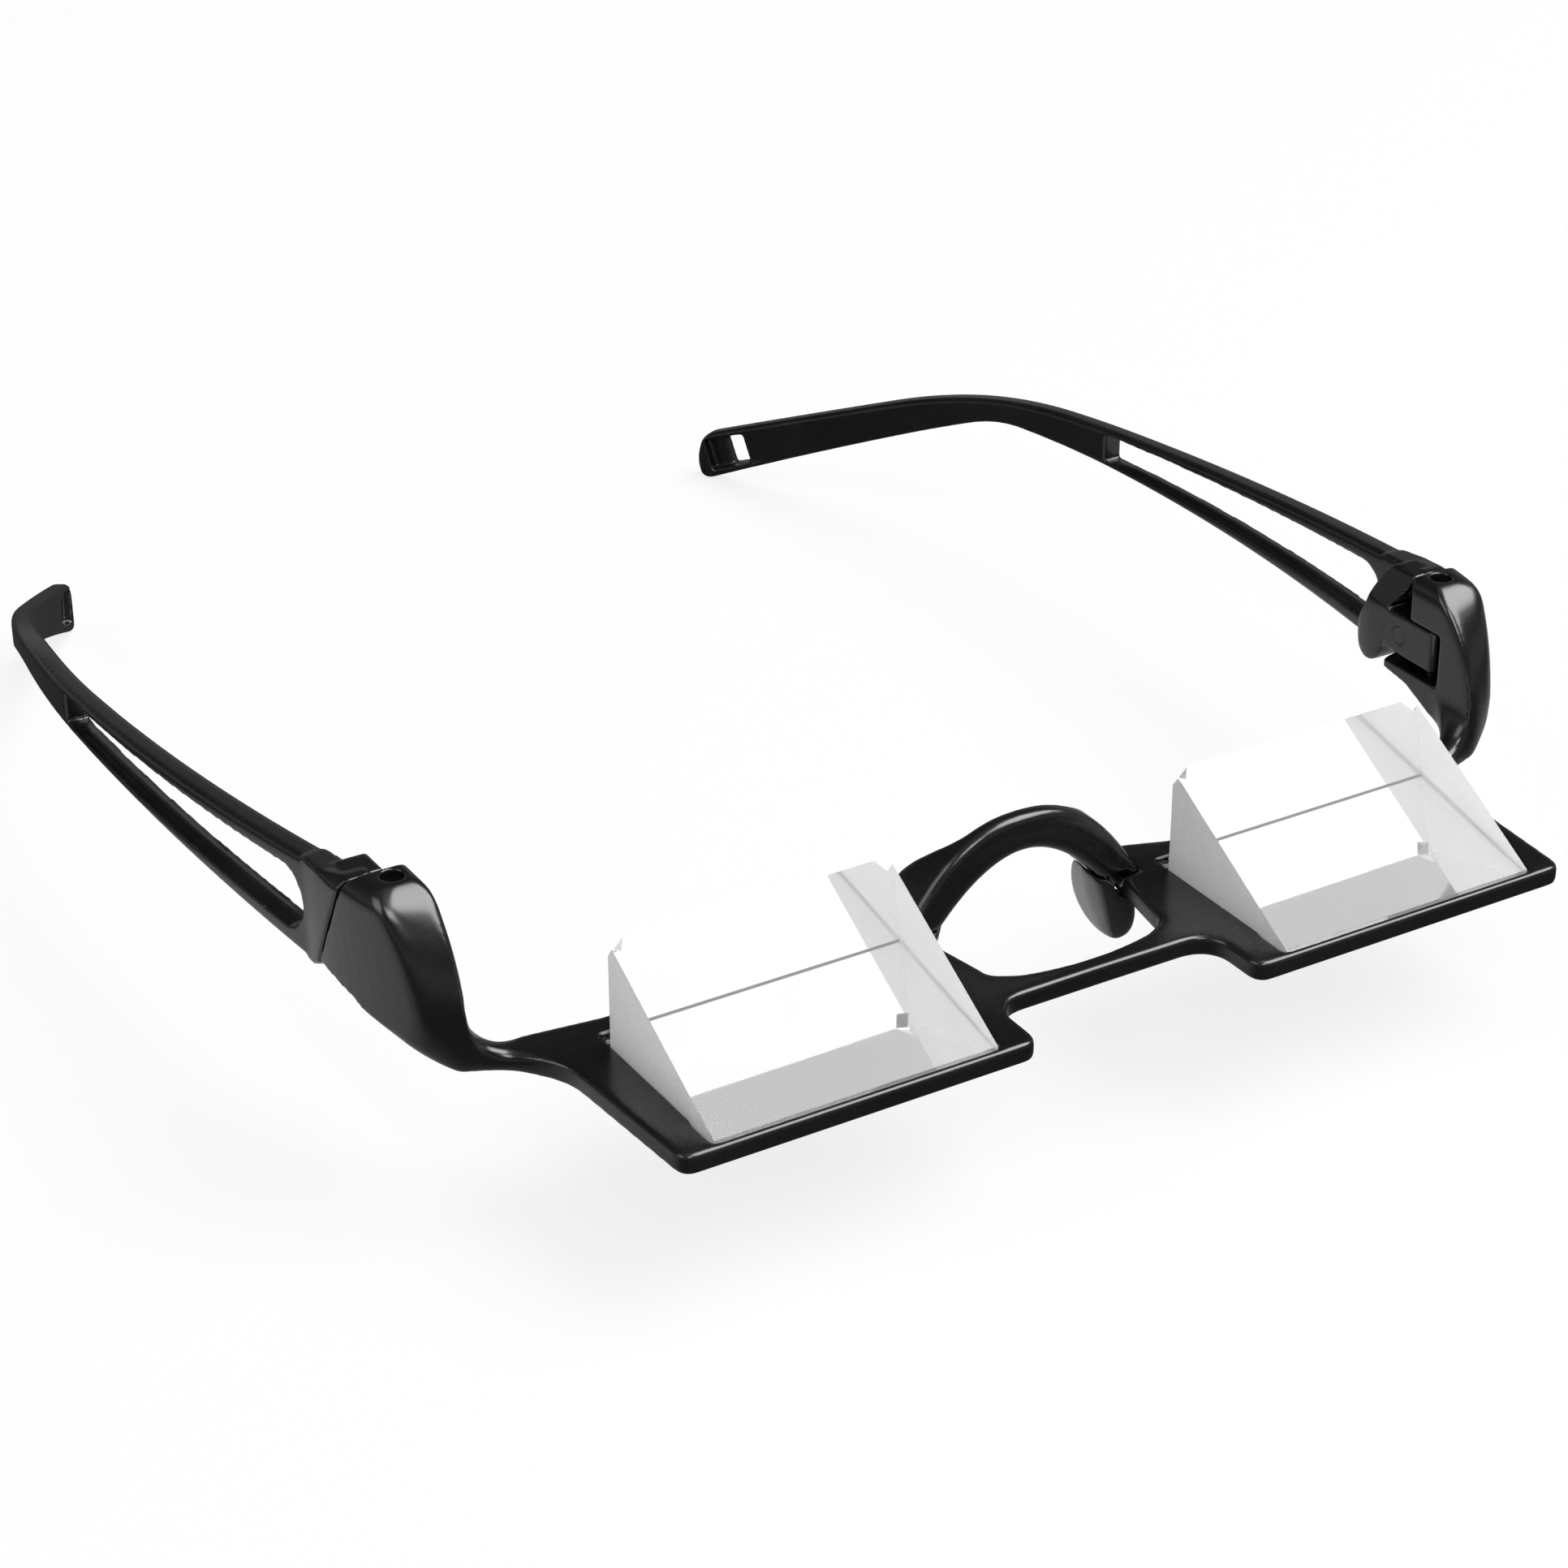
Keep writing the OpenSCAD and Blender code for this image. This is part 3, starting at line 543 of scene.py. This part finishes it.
# Lamps aimed at the object: place, size, watts
LAMPS = {
    "key_light": ((1.25, -0.58, 2.2), (2.2, 1.9), 92),
    "front_light": ((-0.52, -1.56, 2.0), (0.9, 0.9), 18),
    "side_light": ((-2.0, 0.25, 1.5), (1.5, 1.5), 15),
    "top_light": ((0, 0.05, 3), (3.2, 3.2), 6),
}
LAMPS_AIM = (0, 0.05, 0)


def add_floor():
    """Plain pale floor at the height of the object's lowest point."""
    low = cad_box[0][2]
    mesh = bpy.data.meshes.new("floor")
    s = FLOOR_SIZE / 2
    mesh.from_pydata([(-s, -s, low), (s, -s, low), (s, s, low), (-s, s, low)], [], [(0, 1, 2, 3)])
    floor = bpy.data.objects.new("floor", mesh)
    bpy.context.scene.collection.objects.link(floor)
    n = Nodes("floor")
    diffuse = n.add("BsdfDiffuse")
    diffuse.inputs["Color"].default_value = (*FLOOR_COLOUR, 1)
    # seen directly, in gloss or through glass it is white, with the shadow kept faint;
    # in gloss it carries painted shade, darker in front of the object and far behind it
    place = n.add("SeparateXYZ")
    n.link(n.add("NewGeometry").outputs["Position"], place.inputs[0])
    front = n.ramp(place.outputs["Y"], *GLOSS_SHADE_FRONT, 0, 1)
    back = n.ramp(place.outputs["Y"], *GLOSS_SHADE_BACK, 1, 0)
    level = n.ramp(n.math("MULTIPLY", front, back), 0, 1, GLOSS_SHADE_LEVEL, GLOSS_BAND_LEVEL)
    rays = n.add("LightPath")
    gloss = n.math("MULTIPLY", rays.outputs["Is Glossy Ray"], n.math("SUBTRACT", 1, level))
    white = n.add("Emission", Color=(*BACKDROP, 1))
    n.link(n.math("SUBTRACT", 1, gloss), white.inputs["Strength"])
    x, y = place.outputs["X"], place.outputs["Y"]
    out = n.math("SQRT", n.math("ADD", n.math("MULTIPLY", x, x), n.math("MULTIPLY", y, y)), 0)
    share = n.ramp(out, *WHITENS, FLOOR_WHITE, 1)
    direct = n.math("MAXIMUM", rays.outputs["Is Camera Ray"], rays.outputs["Is Transmission Ray"])
    seen = n.math("MAXIMUM", n.math("MULTIPLY", direct, share), rays.outputs["Is Glossy Ray"])
    mix = n.add("MixShader")
    n.link(seen, mix.inputs["Fac"])
    n.link(diffuse.outputs[0], mix.inputs[1])
    n.link(white.outputs[0], mix.inputs[2])
    n.link(mix.outputs[0], n.out.inputs["Surface"])
    mesh.materials.append(n.mat)


def add_light(name, at, to, size, power):
    """A soft rectangular lamp at a point, aimed at another."""
    data = bpy.data.lights.new(name, "AREA")
    data.shape = "RECTANGLE"
    data.size, data.size_y = size
    data.energy = power
    lamp = bpy.data.objects.new(name, data)
    lamp.location = at
    lamp.rotation_euler = (Vector(to) - Vector(at)).to_track_quat("-Z", "Y").to_euler()
    bpy.context.scene.collection.objects.link(lamp)


def add_studio():
    """A room that is pale at floor level and dark above it, with four soft lamps."""
    world = bpy.data.worlds.new("world")
    bpy.context.scene.world = world
    world.use_nodes = True
    tree = world.node_tree
    shade = tree.nodes["Background"].inputs["Color"]
    height = tree.nodes.new("ShaderNodeSeparateXYZ")
    tree.links.new(tree.nodes.new("ShaderNodeTexCoord").outputs["Generated"], height.inputs[0])
    ramp = tree.nodes.new("ShaderNodeValToRGB")
    ramp.color_ramp.interpolation = "EASE"
    low, high = ramp.color_ramp.elements
    low.position, low.color = PALE_TO, (*PALE, 1)
    high.position, high.color = DARK_FROM, (*DARK, 1)
    tree.links.new(height.outputs["Z"], ramp.inputs["Fac"])
    clear = tree.nodes.new("ShaderNodeMix")
    clear.data_type = "RGBA"
    rays = tree.nodes.new("ShaderNodeLightPath")
    tree.links.new(rays.outputs["Is Transmission Ray"], clear.inputs["Factor"])
    tree.links.new(ramp.outputs["Color"], clear.inputs["A"])
    through = tree.nodes.new("ShaderNodeMapRange")
    for key, number in zip(RANGE, (-TURN_TO_BACK, TURN_TO_BACK, IN_FRONT, BEHIND)):
        through.inputs[key].default_value = number
    tree.links.new(height.outputs["Y"], through.inputs["Value"])
    tree.links.new(through.outputs["Result"], clear.inputs["B"])
    seen = tree.nodes.new("ShaderNodeMix")
    seen.data_type = "RGBA"
    tree.links.new(rays.outputs["Is Camera Ray"], seen.inputs["Factor"])
    tree.links.new(clear.outputs["Result"], seen.inputs["A"])
    seen.inputs["B"].default_value = (*BACKDROP, 1)
    tree.links.new(seen.outputs["Result"], shade)
    for name, (at, size, power) in LAMPS.items():
        add_light(name, at, LAMPS_AIM, size, power)


add_camera()
add_pieces()
add_floor()
add_studio()

view = bpy.context.scene.view_settings
view.view_transform = "Standard"
